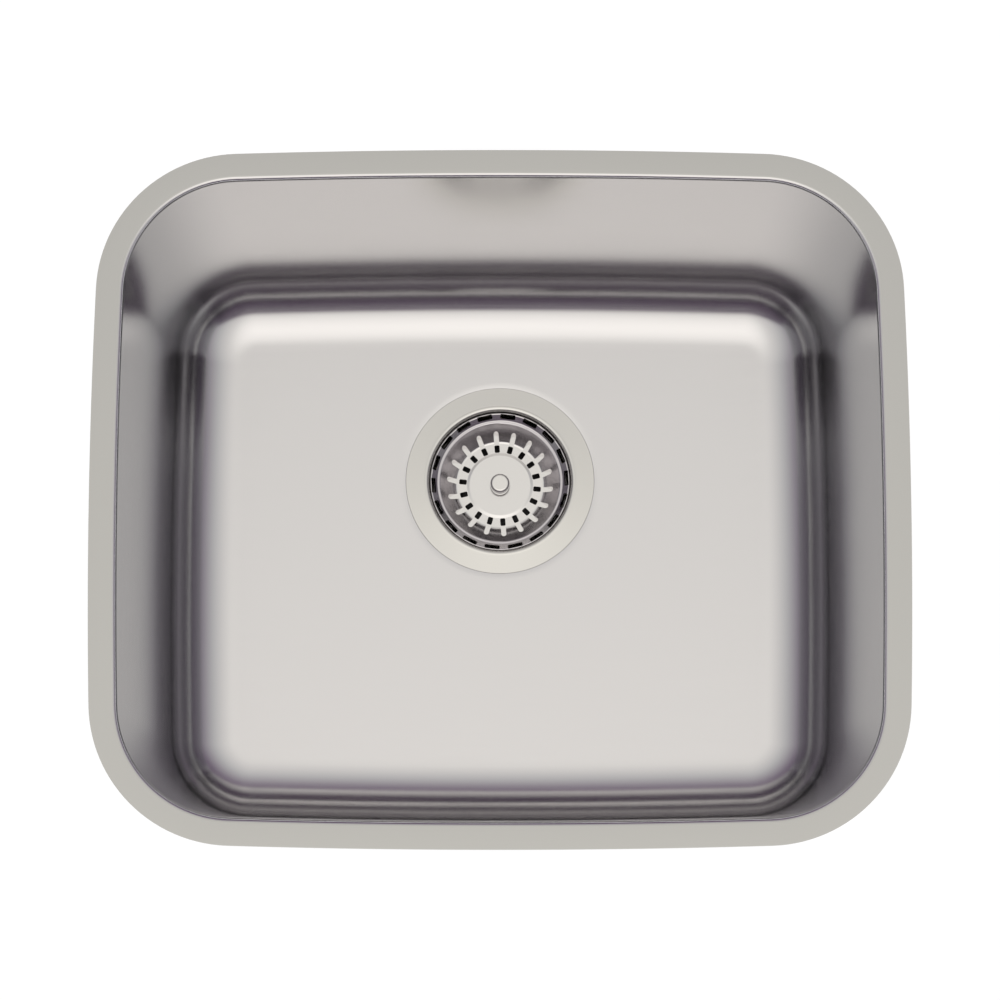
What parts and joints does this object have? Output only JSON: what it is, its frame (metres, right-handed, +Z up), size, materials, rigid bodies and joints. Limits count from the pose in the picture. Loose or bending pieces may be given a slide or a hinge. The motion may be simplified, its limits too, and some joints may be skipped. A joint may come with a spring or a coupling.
{
  "type": "stainless steel kitchen sink",
  "caption": "Single-bowl pressed stainless steel sink that hangs under a worktop, with a lift-out basket strainer in its drain and damping pads under the bowl.",
  "frame": {"origin": "centre of the rim's top face, where the worktop's underside lies", "axes": "+X along the long side, +Y to the back, where the drain is, and +Z up"},
  "size_m": [0.457, 0.395, 0.2619],
  "materials": {
    "bowl_steel": "satin",
    "strainer_steel": "satin",
    "basket_steel": "bright rolled",
    "plated_steel": "plain",
    "stem_brass": "turned",
    "pad_rubber": "matt",
    "seal_rubber": "matt",
    "ring_fibre": "pressed fibre",
    "nut_plastic": "moulded"
  },
  "bodies": {
    "sink": {"sink_bowl": "bowl_steel", "strainer_body": "strainer_steel", "crosspiece": "strainer_steel", "base_pad_left": "pad_rubber", "base_pad_right": "pad_rubber", "base_pad_front": "pad_rubber", "wall_pad_left": "pad_rubber", "wall_pad_right": "pad_rubber", "wall_pad_front": "pad_rubber", "wall_pad_back": "pad_rubber", "flange_gasket": "seal_rubber", "under_gasket": "seal_rubber", "friction_ring": "ring_fibre", "lock_nut": "nut_plastic"},
    "basket": {"basket_cup": "basket_steel", "lift_knob": "basket_steel", "stem": "stem_brass", "upper_washer": "plated_steel", "stopper_seal": "seal_rubber", "lower_washer": "plated_steel", "stem_nut": "stem_brass", "spring_clip": "plated_steel"}
  },
  "joints": [
    {"name": "basket_lift", "type": "slide", "parent": "sink", "child": "basket", "axis": [0, 0, 1], "range_m": [0, 0.26]}
  ]
}
